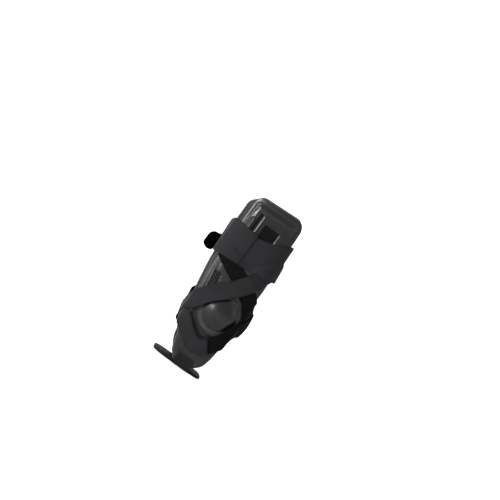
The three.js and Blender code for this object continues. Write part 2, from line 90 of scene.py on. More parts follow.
# Outline of a shell from the side: height is a share of shell_height, rear and front of shell_half_width
shell_outline = {
    "height": [0, 0.014, 0.024, 0.041, 0.06, 0.091, 0.13, 0.157, 0.196, 0.266, 0.343, 0.463, 0.607, 0.66,
               0.74, 0.85, 0.909, 1],
    "rear": [-0.205, -0.28, -0.31, -0.365, -0.443, -0.534, -0.602, -0.68, -0.76, -0.82, -0.88, -1.0, -1.114,
             -1.12, -1.13, -1.136, -1.136, -1.136],
    "front": [0.386, 0.42, 0.51, 0.62, 0.693, 0.75, 0.795, 0.814, 0.83, 0.84, 0.845, 0.86, 0.877, 0.85, 0.79,
              0.755, 0.735, 0.7],
}
shell_spread = {
    "height": [0, 0.1, 0.22, 0.37, 0.57, 0.76, 1],
    "span": [0, 0.1, 0.19, 0.33, 0.52, 0.74, 1],
}

# The hollow that the straps go round between the shells
hollow_outline = {
    "height": [0, 0.21, 0.28, 0.345, 0.4, 0.46, 0.51, 0.66, 0.74, 0.86, 1],
    "rear": [-0.78, -0.82, -0.86, -0.93, -0.94, -0.97, -1.0, -1.13, -1.17, -1.2, -1.22],
    "front": [0.8, 0.9, 1.06, 1.13, 1.12, 1.04, 0.9, 0.83, 0.76, 0.68, 0.66],
    "side": [0.7, 0.75, 0.78, 0.8, 0.8, 0.8, 0.8, 0.82, 0.82, 0.82, 0.82],
}

# Routes of the straps' middle lines: place, across as a share of shell_half_width, height of shell_height,
# and width as a share of the strap's own
heel_strap_climb = [
    ("lateral", 0.43, 0.163, 0.92),
    ("lateral", 0.22, 0.138, 0.92),
    ("lateral", -0.02, 0.132, 0.9),
    ("lateral", -0.28, 0.155, 0.86),
    ("lateral", -0.6, 0.2, 0.9),
    ("lateral", -0.87, 0.235, 0.95),
    ("rear", 0, 0.27, 1),
    ("medial", -0.87, 0.318, 1),
    ("medial", -0.55, 0.39, 1),
    ("medial", -0.25, 0.45, 1),
    ("medial", 0.0, 0.492, 1),
    ("medial", 0.31, 0.562, 1),
    ("medial", 0.58, 0.64, 1),
    ("medial", 0.8, 0.69, 1),
]
shin_crossing = ("front", 0, 0.72, 1)
cross_strap_top = [
    (-0.95, 0.645, 1),
    (-0.62, 0.612, 1),
    (-0.23, 0.58, 1),
    (0.31, 0.533, 0.98),
    (0.61, 0.503, 1.02),
    (0.84, 0.458, 1.2),
]
instep_crossing = ("front", 0, 0.368, 1.45)
cross_strap_foot = [
    (0.9, 0.31, 1.35),
    (0.77, 0.258, 1.15),
    (0.6, 0.204, 1.0),
    (0.42, 0.162, 0.92),
    (0.22, 0.138, 0.88),
]
calf_crossing = [
    ("medial", -1.0, 0.655, 1.06),
    ("rear", 0, 0.65, 1.2),
    ("lateral", -1.28, 0.645, 1.25),
]

# Upper and lower edge of the calf strap, by the distance toward the front
calf_strap_edges = {
    "forward": [-62, -45, -30, -14, 10, 25, 38],
    "top": [215.5, 213, 211.3, 211, 217, 224, 230],
    "bottom": [163, 163, 164, 165, 166.5, 169.5, 172],
}


def soft_step(low, high, value):
    """0 below low, 1 above high, with a smooth cubic between them."""
    share = np.clip((value - low) / (high - low), 0, 1)
    return share * share * (3 - 2 * share)


def along(rows, column, key, value):
    """Value of a table's column, by a cubic through its rows whose slopes are those of the rows beside."""
    at = np.asarray(rows[key], float)
    held = np.asarray(rows[column], float)
    slopes = np.gradient(held, at)
    value = np.clip(value, at[0], at[-1])
    i = np.clip(np.searchsorted(at, value, side="right") - 1, 0, len(at) - 2)
    step = at[i + 1] - at[i]
    t = (value - at[i]) / step
    start = (1 + 2 * t) * (1 - t) ** 2 * held[i] + t * (1 - t) ** 2 * step * slopes[i]
    return start + t * t * (3 - 2 * t) * held[i + 1] - t * t * (1 - t) * step * slopes[i + 1]


def height_share(z):
    return (z - shell_foot) / shell_height


def shell_rear(z):
    return shell_set_forward + shell_half_width * along(shell_outline, "rear", "height", height_share(z))


def shell_front(z):
    return shell_set_forward + shell_half_width * along(shell_outline, "front", "height", height_share(z))


def half_span(z):
    share = along(shell_spread, "span", "height", height_share(z))
    return heel_half_span + (top_half_span - heel_half_span) * share


def bulge(x, z, blend):
    """Height of the bulge over the ankle bone: a cap of a sphere, met by the face in a blend."""
    sphere = (bulge_radius**2 + bulge_height**2) / (2 * bulge_height)
    distance = np.hypot(x - bulge_x, z - bulge_z)
    cap = np.sqrt(np.maximum(sphere**2 - distance**2, 0)) - (sphere - bulge_height)
    return (cap + np.hypot(cap, blend)) / 2


def shell_face(x, z, blend=bulge_blend):
    """Point of the medial shell's outer face: an oval in plan, wider toward the top, with the bulge on it."""
    middle = (shell_rear(z) + shell_front(z)) / 2
    share = np.minimum(np.abs(x - middle) / shell_reach, 0.98)
    y = half_span(z) * (1 - share**oval_power) ** (1 / oval_power)
    return np.stack([x, y + bulge(x, z, blend), z], -1)


def shell_normal(x, z, blend=bulge_blend):
    """Outward direction of that face, from its slopes along X and Z."""
    step = 0.4
    along_x = shell_face(x + step, z, blend) - shell_face(x - step, z, blend)
    along_z = shell_face(x, z + step, blend) - shell_face(x, z - step, blend)
    return unit(np.cross(along_z, along_x))


def unit(vectors):
    return vectors / np.maximum(np.linalg.norm(vectors, axis=-1, keepdims=True), 1e-9)


def packed_shares(length, spacing, rim):
    """Shares from 0 to 1 along a length, some of them close together in a rim at both ends."""
    near = rim * np.array([0, 0.03, 0.12, 0.26, 0.45, 0.7])
    count = max(int(round((length - 2 * rim) / spacing)), 2)
    middle = np.linspace(rim, length - rim, count + 1)
    return np.concatenate([near, middle, length - near[::-1]]) / length


def rounded_wall(edge, wall):
    """Half thickness of a wall with a rounded edge: a half circle's height at a distance from the edge."""
    share = np.clip(1 - edge / (wall / 2), 0, 1)
    return wall / 2 * np.sqrt(np.maximum(1 - share**2, 0.004))


def shell_grid(spacing, margin, rim):
    """Grid of X, Z and distance from the edge over a shell's outline, grown by a margin. The top corners are
    rounded by drawing each corner square onto a quarter disc."""
    width = 2 * shell_half_width
    radius = shell_corner_radius + margin
    u, v = np.meshgrid(packed_shares(width, spacing, rim), packed_shares(shell_height, spacing, rim))
    across = u * width
    up = v * shell_height
    from_side = np.minimum(across, width - across)
    from_top = shell_height - up
    a = np.clip(1 - from_side / radius, 0, 1)
    b = np.clip(1 - from_top / radius, 0, 1)
    corner = (a > 0) & (b > 0)
    rounded_side = radius * (1 - a * np.sqrt(1 - b**2 / 2))
    across = np.where(corner, np.where(across < width / 2, rounded_side, width - rounded_side), across)
    up = np.where(corner, shell_height - radius * (1 - b * np.sqrt(1 - a**2 / 2)), up)
    z = shell_foot + up
    rear = shell_rear(z) - margin
    front = shell_front(z) + margin
    x = rear + (front - rear) * across / width
    slope = np.gradient(shell_rear(z[:, 0]), z[:, 0])[:, None]
    from_side = from_side * (front - rear) / width / np.sqrt(1 + slope**2)
    from_corner = radius * (1 - np.sqrt(a**2 + b**2 - a**2 * b**2))
    edge = np.where(corner, from_corner, np.minimum(from_side, from_top))
    edge = np.minimum(edge, v * shell_height)
    tilt = shell_top_tilt * (across / width - 0.5) * (up / shell_height) ** 4
    return x, z + tilt + margin * (up / shell_height) ** 8, edge


# Closed bodies between two grids of points

def solid_between(name, outer, inner, along_mm, across_mm, is_loop=False, marks=None):
    """A closed mesh between an outer and an inner grid of points in millimetres. along_mm and across_mm
    become its UV map, in metres, and each entry of marks an attribute of its points."""
    rows, columns = outer.shape[:2]
    points = np.concatenate([outer.reshape(-1, 3), inner.reshape(-1, 3)]) * MM
    spans = rows if is_loop else rows - 1
    r, c = np.meshgrid(np.arange(spans), np.arange(columns - 1), indexing="ij")
    r, c = r.ravel(), c.ravel()
    front = cells((0, r, c), (0, r + 1, c), (0, r + 1, c + 1), (0, r, c + 1))
    back = cells((1, r, c), (1, r, c + 1), (1, r + 1, c + 1), (1, r + 1, c))
    r = np.arange(spans)
    first, last = np.zeros_like(r), np.full_like(r, columns - 1)
    left = cells((0, r, first), (1, r, first), (1, r + 1, first), (0, r + 1, first))
    right = cells((0, r, last), (0, r + 1, last), (1, r + 1, last), (1, r, last))
    faces = [front, back, left, right]
    if not is_loop:
        c = np.arange(columns - 1)
        low, high = np.zeros_like(c), np.full_like(c, rows - 1)
        faces.append(cells((0, low, c), (0, low, c + 1), (1, low, c + 1), (1, low, c)))
        faces.append(cells((0, high, c), (1, high, c), (1, high, c + 1), (0, high, c + 1)))
    corners = np.concatenate(faces).reshape(-1, 3)
    index = corners[:, 0] * rows * columns + (corners[:, 1] % rows) * columns + corners[:, 2]
    quads = index.reshape(-1, 4)
    if signed_volume(points, quads) < 0:
        quads = quads[:, ::-1]
        corners = corners.reshape(-1, 4, 3)[:, ::-1].reshape(-1, 3)
    mesh = bpy.data.meshes.new(name)
    mesh.from_pydata(points.tolist(), [], quads.tolist())
    u = np.asarray(along_mm)[corners[:, 1]]
    v = np.asarray(across_mm)[corners[:, 2]]
    layer = mesh.uv_layers.new(name="UVMap")
    layer.data.foreach_set("uv", (np.stack([u, v], 1) * MM).astype(np.float32).ravel())
    for label, values in (marks or {}).items():
        doubled = np.concatenate([values.ravel(), values.ravel()]).astype(np.float32)
        mesh.attributes.new(label, "FLOAT", "POINT").data.foreach_set("value", doubled)
    mesh.polygons.foreach_set("use_smooth", np.ones(len(mesh.polygons), bool))
    mesh.update()
    piece = bpy.data.objects.new(name, mesh)
    bpy.context.scene.collection.objects.link(piece)
    return piece


def cells(*corners):
    """Faces with four corners, each a point of the two grids named by its side, row and column."""
    named = [np.stack([np.full_like(row, side), row, column], -1) for side, row, column in corners]
    return np.stack(named, 1)


def signed_volume(points, quads):
    """Volume inside a closed mesh, negative if its faces point inward."""
    a, b, c, d = (points[quads[:, i]] for i in range(4))
    return float(np.sum(a * np.cross(b, c)) + np.sum(a * np.cross(c, d))) / 6


def mirrored(points):
    return points * np.array([1, -1, 1])


# Relief of a shell's outer face

window = {"rear": -16, "front": 8.5, "bottom": 200, "top": 232}
slot = {"rear": -29.5, "front": -25, "bottom": 214, "top": 241.5}
rear_rib = {"rear": -38.5, "front": -32, "bottom": 200, "top": 231}
front_rib = {"rear": -23.5, "front": -20.5, "bottom": 212, "top": 240}
vent_field = {"rear": -34, "front": -21, "bottom": 115, "top": 141}
vent_lean = 0.28
vent_pitch = 4.2
foot_panel = {"rear": -12, "front": 19, "bottom": 0, "top": 17.5}
recess_sides = [
    ((-1, 0), (-28, 67)),
    ((-0.55, -0.835), (4, 48.5)),
    ((0.55, -0.835), (4, 48.5)),
    ((1, 0), (38, 70)),
    ((0.5, 0.866), (8, 139)),
    ((-0.5, 0.866), (8, 139)),
]


def inside_box(box, x, z, corner_radius=1.5):
    """Distance from a rounded rectangle's edge, negative inside it."""
    dx = np.abs(x - (box["rear"] + box["front"]) / 2) - (box["front"] - box["rear"]) / 2 + corner_radius
    dz = np.abs(z - (box["bottom"] + box["top"]) / 2) - (box["top"] - box["bottom"]) / 2 + corner_radius
    outside = np.hypot(np.maximum(dx, 0), np.maximum(dz, 0))
    return outside + np.minimum(np.maximum(dx, dz), 0) - corner_radius


def inside_recess(x, z):
    """Distance from the edge of the six-sided recess round the bulge, negative inside it."""
    sides = [(x - px) * nx + (z - pz) * nz for (nx, nz), (px, pz) in recess_sides]
    return np.log(np.sum([np.exp(np.clip(s / 1.5, -40, 40)) for s in sides], axis=0)) * 1.5


def vents(x, z):
    """How far inside the leaning field of vents a point lies, and the wave of its slanting grooves."""
    middle = (vent_field["bottom"] + vent_field["top"]) / 2
    in_field = soft_step(0.6, -0.6, inside_box(vent_field, x + (z - middle) * vent_lean, z))
    return in_field, np.cos(2 * math.pi * (z + 0.5 * x) / vent_pitch)


def shell_relief(x, z, edge):
    """Height of the moulded relief over the shell's plain face: border, step, panels, ribs, slot, window,
    vents, the recess round the bulge and its ledge."""
    in_panel = soft_step(-0.6, 1.6, edge - 7.5 - 4 * soft_step(225, 245, z)) * soft_step(40, 60, z)
    height = 0.45 * soft_step(0, 2, edge) * (1 - soft_step(5, 8, edge))
    height = height - 0.8 * np.exp(-(((edge - 8.3) / 1.4) ** 2)) * soft_step(45, 60, z)
    height = height + 0.7 * in_panel
    ledge = edge - 15
    height = height + 0.7 * np.exp(-((ledge / 1.5) ** 2)) * soft_step(224, 236, z)
    height = height - 1.7 * soft_step(0.6, -0.6, inside_box(window, x, z))
    height = height + 0.2 * np.exp(-((inside_box(window, x, z) - 1.6) ** 2))
    height = height - 2.0 * soft_step(0.6, -0.8, inside_box(slot, x, z))
    rib_slope = np.clip((x - rear_rib["rear"]) / (rear_rib["front"] - rear_rib["rear"]), 0, 1)
    height = height + 3.4 * rib_slope * soft_step(1.0, -1.0, inside_box(rear_rib, x, z, 2.5))
    height = height + 1.1 * soft_step(0.8, -1, inside_box(front_rib, x, z))
    in_vents, vent_wave = vents(x, z)
    height = height - in_vents * (0.9 + 0.7 * vent_wave)
    left_rib = x - shell_rear(z) - 10.5
    height = height + 0.9 * np.exp(-((left_rib / 1.2) ** 2)) * soft_step(104, 112, z) * soft_step(196, 180, z)
    recess = inside_recess(x, z)
    height = height * soft_step(-1, 3, recess)
    height = height - 2.1 * soft_step(0.9, -0.9, recess) + 0.5 * np.exp(-(((recess - 1.8) / 1.1) ** 2))
    reach = np.hypot(x - bulge_x, z - bulge_z)
    ledge_ring = np.exp(-(((reach - bulge_radius - 4.6) / 1.3) ** 2))
    crease = np.exp(-(((reach - bulge_radius - 0.8) / 1.1) ** 2))
    height = height + 0.9 * ledge_ring * soft_step(1, -1, recess) - 0.9 * crease
    foot_line = inside_box(foot_panel, x, z, 2)
    return height - 0.8 * np.exp(-((foot_line / 0.8) ** 2)) * soft_step(0.5, 2.5, edge)


def shell_hollow_dullness_and_shade(x, z):
    """How deep a point lies in a hollow of the relief, 0 to 1, where the plastic is duller and its colour is
    darkened as painted shade: the window, slot, vent grooves, the recess's border and the crease round the
    bulge.
    """
    in_window = soft_step(0.8, -0.8, inside_box(window, x, z))
    in_slot = soft_step(0.8, -0.8, inside_box(slot, x, z))
    in_vents, vent_wave = vents(x, z)
    grooves = in_vents * (0.5 + 0.5 * vent_wave)
    recess = inside_recess(x, z)
    border = np.exp(-(((recess + 2.2) / 2.0) ** 2))
    reach = np.hypot(x - bulge_x, z - bulge_z)
    crease = np.exp(-(((reach - bulge_radius - 0.9) / 1.4) ** 2))
    return np.clip(in_window + in_slot + 0.9 * grooves + 0.85 * border + 0.9 * crease, 0, 1)


def build_shells():
    """Each shell is a wall with a rounded rim, between its outer face with the relief and the face behind."""
    x, z, edge = shell_grid(0.86, 0, shell_wall / 2)
    face = shell_face(x, z)
    normal = shell_normal(x, z)
    half = rounded_wall(edge, shell_wall)[..., None]
    lift = (shell_relief(x, z, edge) * soft_step(0, 1.6, edge))[..., None]
    outer = face + normal * (half - shell_wall / 2 + lift)
    inner = face + normal * (-half - shell_wall / 2)
    made = []
    for name, shape in (("medial_shell", np.array), ("lateral_shell", mirrored)):
        # The second mark darkens the shell's colour in its hollows as painted shade and dulls the coat there.
        wear = {"edge_wear": np.exp(-edge / 1.4), "hollow_dullness_and_shade": shell_hollow_dullness_and_shade(x, z)}
        made.append(solid_between(f"{name}_moulding", shape(outer), shape(inner), z[:, 0], x[0], marks=wear))
    return made


def build_liners():
    """Each liner is a soft pad: full in the middle, thinner toward its bound edge, with rows of quilting."""
    outer_depth = shell_wall + liner_gap
    x, z, edge = shell_grid(1.9, liner_margin, liner_wall / 2)
    face = shell_face(x, z, 4)
    normal = shell_normal(x, z, 4)
    half = rounded_wall(edge, liner_wall * 0.8)
    full = 1.1 * soft_step(3, 14, edge)
    seam_rows = np.abs((z - shell_foot) % 43 - 21.5)
    full = full - 1.2 * np.exp(-((seam_rows / 1.5) ** 2)) * soft_step(3, 8, edge)
    full = full - 0.9 * np.exp(-(((edge - 4.6) / 0.9) ** 2))
    outer = face + normal * (half - liner_wall * 0.4 - outer_depth)[..., None]
    inner = face + normal * (-half - liner_wall * 0.4 - outer_depth - full)[..., None]
    made = []
    for name, shape in (("medial_liner", np.array), ("lateral_liner", mirrored)):
        binding = {"binding": soft_step(5.2, 4.2, edge)}
        made.append(solid_between(f"{name}_pad", shape(outer), shape(inner), z[:, 0], x[0], marks=binding))
    return made


def build_plate():
    """The heel plate: rings of a squarish oval from its middle to a rounded rim, with two ears turned up."""
    shares = packed_shares(2, 0.05, 0.06)
    shares = shares[shares >= 0.5] * 2 - 1
    turn = np.linspace(0, 2 * math.pi, 145)[:-1]
    oval_x = np.sign(np.cos(turn)) * np.abs(np.cos(turn)) ** (2 / plate_power)
    oval_y = np.sign(np.sin(turn)) * np.abs(np.sin(turn)) ** (2 / plate_power)
    x = plate_length / 2 * oval_x[:, None] * shares
    y = plate_width / 2 * oval_y[:, None] * shares
    edge = (1 - shares)[None, :] * np.hypot(plate_length / 2 * oval_x, plate_width / 2 * oval_y)[:, None]
    half = rounded_wall(edge, plate_thickness * 0.7) / (plate_thickness * 0.35)
    rise = plate_thickness / 2 * (0.4 + 0.6 * half)
    dish = 0.5 * soft_step(4, 9, edge)
    ribs = 0.35 * soft_step(3, 5, edge) * np.maximum(np.cos(2 * math.pi * x / 6.5), 0) ** 4
    outer = np.stack([x, y, plate_thickness / 2 + rise - dish + ribs], -1)
    inner = np.stack([x, y, plate_thickness / 2 - rise], -1)
    around = np.append(turn, 2 * math.pi) * 20
    plate = solid_between("heel_plate_sole", outer, inner, around, shares * 30, is_loop=True)
    ears = [build_ear("lateral", -1), build_ear("medial", 1)]
    return join_pieces([plate, *ears])


def build_ear(side, sign):
    """An ear: a small curved tab outside a shell's foot, with rounded corners, rooted in the plate's edge."""
    up = packed_shares(ear_height - 0.6, 0.8, 1.0)
    across = packed_shares(ear_length, 0.9, 1.0)
    u, v = np.meshgrid(across, up)
    x = ear_middle_x + (u - 0.5) * ear_length
    z = 0.6 + v * (ear_height - 0.6)
    radius = 3
    dx = np.maximum(np.abs(u - 0.5) * ear_length - ear_length / 2 + radius, 0)
    dz = np.maximum(z - ear_height + radius, 0)
    edge = np.minimum(radius - np.hypot(dx, dz), (1 - v) * (ear_height - 0.6) + 0.01)
    pull = np.maximum(-edge, 0)
    x = x - np.sign(u - 0.5) * pull * dx / np.maximum(np.hypot(dx, dz), 1e-6)
    z = z - pull * dz / np.maximum(np.hypot(dx, dz), 1e-6)
    half = rounded_wall(np.maximum(edge, 0), ear_wall)
    middle = half_span(z) + piece_gap + ear_wall / 2 + 0.25
    outer = np.stack([x, sign * (middle + half), z], -1)
    inner = np.stack([x, sign * (middle - half), z], -1)
    return solid_between(f"{side}_ear", outer, inner, z[:, 0], x[0])


def join_pieces(pieces):
    """Fuses several meshes into the first one's object."""
    for piece in bpy.context.selected_objects:
        piece.select_set(False)
    for piece in pieces:
        piece.select_set(True)
    bpy.context.view_layer.objects.active = pieces[0]
    bpy.ops.object.join()
    return pieces[0]


# The taut form that the straps lie on: at each height the convex outline of both shells and of the hollow

axis_x = -0.07 * shell_half_width
form_bottom = shell_foot + 0.03 * shell_height
form_step = 2.5
form_rows = int(0.93 * shell_height / form_step)
form_angles = 360
edge_outlook = 6
edge_seat = 0.8


def taut_section(z):
    """Reach of the convex outline by angle: the least of its support distance over the cosine."""
    near = np.array([z - edge_outlook, z, z + edge_outlook])
    x = np.linspace(shell_rear(near).min() - edge_seat, shell_front(near).max() + edge_seat, 60)
    y = shell_face(x, np.full_like(x, z), 3)[:, 1]
    share = height_share(z)
    rear = shell_set_forward + shell_half_width * along(hollow_outline, "rear", "height", share)
    front = shell_set_forward + shell_half_width * along(hollow_outline, "front", "height", share)
    side = half_span(z) * along(hollow_outline, "side", "height", share)
    turn = np.linspace(0, 2 * math.pi, 90)
    oval_x = (rear + front) / 2 + (front - rear) / 2 * np.cos(turn)
    oval_y = side * np.sin(turn)
    points = np.stack([np.concatenate([x, x, oval_x]) - axis_x, np.concatenate([y, -y, oval_y])], 0)
    normals = np.linspace(0, 2 * math.pi, form_angles, endpoint=False)
    support = np.max(np.cos(normals)[:, None] * points[0] + np.sin(normals)[:, None] * points[1], axis=1)
    facing = np.cos(normals[:, None] - normals[None, :])
    reach = np.where(facing > 0.05, support[:, None] / np.maximum(facing, 0.05), 1e6).min(axis=0)
    window_size = 7
    padded = np.concatenate([reach[-window_size:], reach, reach[:window_size]])
    smooth = np.convolve(padded, np.hanning(window_size) / np.hanning(window_size).sum(), "same")
    return smooth[window_size:-window_size]


taut_form = np.array([taut_section(form_bottom + i * form_step) for i in range(form_rows)])


def taut_point(angle, z):
    """Point of the taut form at an angle in degrees (front 0, medial 90, rear 180) and a height."""
    row = np.clip((z - form_bottom) / form_step, 0, form_rows - 1.001)
    column = (angle / 360 % 1) * form_angles
    r, c = np.floor(row).astype(int), np.floor(column).astype(int)
    fr, fc = row - r, column - c
    here, beside = c % form_angles, (c + 1) % form_angles
    low = taut_form[r, here] * (1 - fc) + taut_form[r, beside] * fc
    high = taut_form[r + 1, here] * (1 - fc) + taut_form[r + 1, beside] * fc
    reach = low * (1 - fr) + high * fr
    radians = np.radians(angle)
    return np.stack([axis_x + reach * np.cos(radians), reach * np.sin(radians), z + 0 * reach], -1)


def taut_axes(angle, z):
    """The directions along the taut form, for each degree and each millimetre up, and the one out of it."""
    turn, step = 2.5, 3
    around = (taut_point(angle + turn, z) - taut_point(angle - turn, z)) / (2 * turn)
    up = (taut_point(angle, z + step) - taut_point(angle, z - step)) / (2 * step)
    return around, up, unit(np.cross(around, up))


def place_of(row):
    """Turns a row of a route into an angle, a height and a width share."""
    place, across, height, width = row
    z = shell_foot + height * shell_height
    if place in ("front", "rear"):
        return (0.0 if place == "front" else 180.0), z, width
    face = shell_face(np.float64(shell_set_forward + across * shell_half_width), np.float64(z), 3)
    y = -face[1] if place == "lateral" else face[1]
    return math.degrees(math.atan2(y, face[0] - axis_x)), z, width


def stations_of(route, strap_width, direction, step=1.3):
    """The strap's middle line as evenly spaced stations: a centripetal cubic through the route's places."""
    places = []
    for row in route:
        angle, z, width = place_of(row)
        while places and direction * (angle - places[-1][0]) < 0:
            angle += 360 * direction
        places.append((angle, z, width * strap_width))
    points = np.array(places)
    knots = np.concatenate([[0], np.cumsum(np.linalg.norm(np.diff(points, axis=0), axis=1) ** 0.5)])
    slopes = np.gradient(points, knots, axis=0)
    t = np.linspace(0, knots[-1], 3000)
    i = np.clip(np.searchsorted(knots, t, side="right") - 1, 0, len(knots) - 2)
    gap = (knots[i + 1] - knots[i])[:, None]
    s = ((t - knots[i]) / gap[:, 0])[:, None]
    curve = (1 + 2 * s) * (1 - s) ** 2 * points[i] + s * (1 - s) ** 2 * gap * slopes[i]
    curve = curve + s * s * (3 - 2 * s) * points[i + 1] - s * s * (1 - s) * gap * slopes[i + 1]
    middle = taut_point(curve[:, 0], curve[:, 1])
    travelled = np.concatenate([[0], np.cumsum(np.linalg.norm(np.diff(middle, axis=0), axis=1))])
    count = int(travelled[-1] / step)
    even = np.linspace(0, travelled[-1], count)
    return {
        "angle": np.interp(even, travelled, curve[:, 0]),
        "z": np.interp(even, travelled, curve[:, 1]),
        "width": np.interp(even, travelled, curve[:, 2]),
        "travelled": even,
    }


def sided(rows, place):
    return [(place, *row) for row in rows]


def other_side(row):
    opposite = {"lateral": "medial", "medial": "lateral"}
    return (opposite.get(row[0], row[0]), *row[1:])


heel_route = [*heel_strap_climb, shin_crossing, *[other_side(row) for row in heel_strap_climb[::-1]]]
outer_cross_route = [*sided(cross_strap_top, "lateral"), instep_crossing, *sided(cross_strap_foot, "medial")]
inner_cross_route = [
    *sided(cross_strap_foot[::-1], "lateral"),
    instep_crossing,
    *sided(cross_strap_top[:0:-1], "medial"),
    *calf_crossing,
]
heel_stations = stations_of(heel_route, heel_strap_width, -1)
outer_cross_stations = stations_of(outer_cross_route, cross_strap_width, 1)
inner_cross_stations = stations_of(inner_cross_route, cross_strap_width, 1)
turn_of_heel_strap = int(np.argmax(heel_stations["angle"] <= -360))


def run_of(stations, first=0, last=None):
    """A stretch of strap that others may cross: its middle line's points and its half width."""
    part = slice(first, last)
    points = taut_point(stations["angle"][part], stations["z"][part])
    return {"points": points[::3], "half": stations["width"][part][::3] / 2}


runs = {
    "heel_climb": run_of(heel_stations, 0, turn_of_heel_strap),
    "heel_return": run_of(heel_stations, turn_of_heel_strap),
    "outer_cross": run_of(outer_cross_stations),
    "inner_cross": run_of(inner_cross_stations),
}
run_walls = {
    "heel_climb": heel_strap_wall,
    "heel_return": heel_strap_wall,
    "outer_cross": cross_strap_wall,
    "inner_cross": cross_strap_wall,
    "calf": calf_strap_wall,
}

# Which strap lies over which, and where a pair crosses more than once, on which side (Y below or above 0)
crossings = [
    ("heel_climb", "outer_cross", 0),
    ("heel_climb", "inner_cross", -1),
    ("heel_return", "outer_cross", 0),
    ("heel_return", "heel_climb", 0),
    ("calf", "outer_cross", 0),
    ("calf", "heel_climb", 0),
    ("calf", "heel_return", 0),
    ("inner_cross", "outer_cross", 0),
    ("inner_cross", "heel_climb", 1),
    ("inner_cross", "calf", 0),
]


def calf_strap_edge(which, x):
    return along(calf_strap_edges, which, "forward", x)


def distance_to_run(run, points):
    """How far points are from a run's edge, negative on the strap itself."""
    flat = points.reshape(-1, 3)
    gaps = np.linalg.norm(flat[:, None, :] - run["points"][None, :, :], axis=2) - run["half"][None, :]
    return gaps.min(axis=1).reshape(points.shape[:-1])


def raised_by(name, points):
    """How far a strap is raised at points by all straps that it lies over there."""
    raise_mm = np.zeros(points.shape[:-1])
    for over, under, side in crossings:
        if over != name:
            continue
        if under == "calf":
            top, bottom = (calf_strap_edge(edge, points[..., 0]) for edge in ("top", "bottom"))
            distance = np.abs(points[..., 2] - (top + bottom) / 2) - (top - bottom) / 2
        else:
            distance = distance_to_run(runs[under], points)
        share = 1 - soft_step(0.3, crossing_ramp, distance)
        share = np.where(side * points[..., 1] < 0, 0, share)
        raise_mm = raise_mm + (run_walls[under] + strap_gap) * share
    return raise_mm


def strap_along(name, stations, wall, raise_at, lift_at, end_rounds):
    """A strap through its stations: shares across it are moved along the taut form, then lifted off it by the
    strap's seat, the straps under it and any free end, and given a rounded edge all round."""
    centres = taut_point(stations["angle"], stations["z"])
    heading = unit(np.gradient(centres, axis=0))
    around, up, out = taut_axes(stations["angle"], stations["z"])
    side = unit(np.cross(out, heading))
    travelled = stations["travelled"]
    from_end = np.minimum(travelled, travelled[-1] - travelled)
    full_half = stations["width"] / 2
    corner_radius = np.where(travelled < travelled[-1] / 2, *end_rounds)
    in_corner = np.maximum(corner_radius - from_end, 0)
    half = full_half - corner_radius + np.sqrt(np.maximum(corner_radius**2 - in_corner**2, 0.3))
    shares = packed_shares(2, 0.08, 0.09) * 2 - 1
    move = shares[None, :, None] * half[:, None, None] * side[:, None, :]
    aa, au, uu = (np.sum(p * q, -1)[:, None] for p, q in ((around, around), (around, up), (up, up)))
    det = aa * uu - au * au
    by_around = np.sum(move * around[:, None, :], -1)
    by_up = np.sum(move * up[:, None, :], -1)
    angle = stations["angle"][:, None] + (by_around * uu - by_up * au) / det
    z = stations["z"][:, None] + (by_up * aa - by_around * au) / det
    base = taut_point(angle, z)
    direction = taut_axes(angle, z)[2]
    edge = np.minimum((1 - np.abs(shares))[None, :] * half[:, None], from_end[:, None])
    ripple = 0.16 * np.sin(travelled / 7.3)[:, None] * np.sin(2.2 * shares + travelled[:, None] / 19)
    lift = strap_seat + wall / 2 + raise_at(base) + lift_at(travelled)[:, None] + ripple
    thickness = rounded_wall(edge, wall)
    selvedge = 0.12 * np.exp(-(((edge - 1.4) / 0.8) ** 2))
    outer = base + direction * (lift + thickness + selvedge)[..., None]
    inner = base + direction * (lift - thickness)[..., None]
    marks = {"edge_distance": edge}
    return solid_between(name, outer, inner, travelled, shares * np.mean(full_half), marks=marks)


def no_lift(travelled):
    return 0 * travelled


def build_heel_strap():
    def raise_at(points):
        climb = raised_by("heel_climb", points[:turn_of_heel_strap])
        back = raised_by("heel_return", points[turn_of_heel_strap:])
        both = np.concatenate([climb, back])
        kernel = np.hanning(9) / np.hanning(9).sum()
        return np.apply_along_axis(lambda row: np.convolve(np.pad(row, 4, "edge"), kernel, "valid"), 0, both)

    return strap_along("heel_strap_webbing", heel_stations, heel_strap_wall, raise_at, no_lift, (2, 2))


def build_outer_cross_strap():
    def raise_at(points):
        return raised_by("outer_cross", points)

    ends = (3, 2)
    return strap_along("outer_cross_webbing", outer_cross_stations, cross_strap_wall, raise_at, no_lift, ends)


def build_inner_cross_strap():
    total = inner_cross_stations["travelled"][-1]

    def raise_at(points):
        return raised_by("inner_cross", points)

    def lift_at(travelled):
        share = np.maximum(1 - (total - travelled) / free_end_length, 0)
        return free_end_lift * share**2 * (2 - share)

    ends = (2, free_end_rounding)
    return strap_along("inner_cross_webbing", inner_cross_stations, cross_strap_wall, raise_at, lift_at, ends)


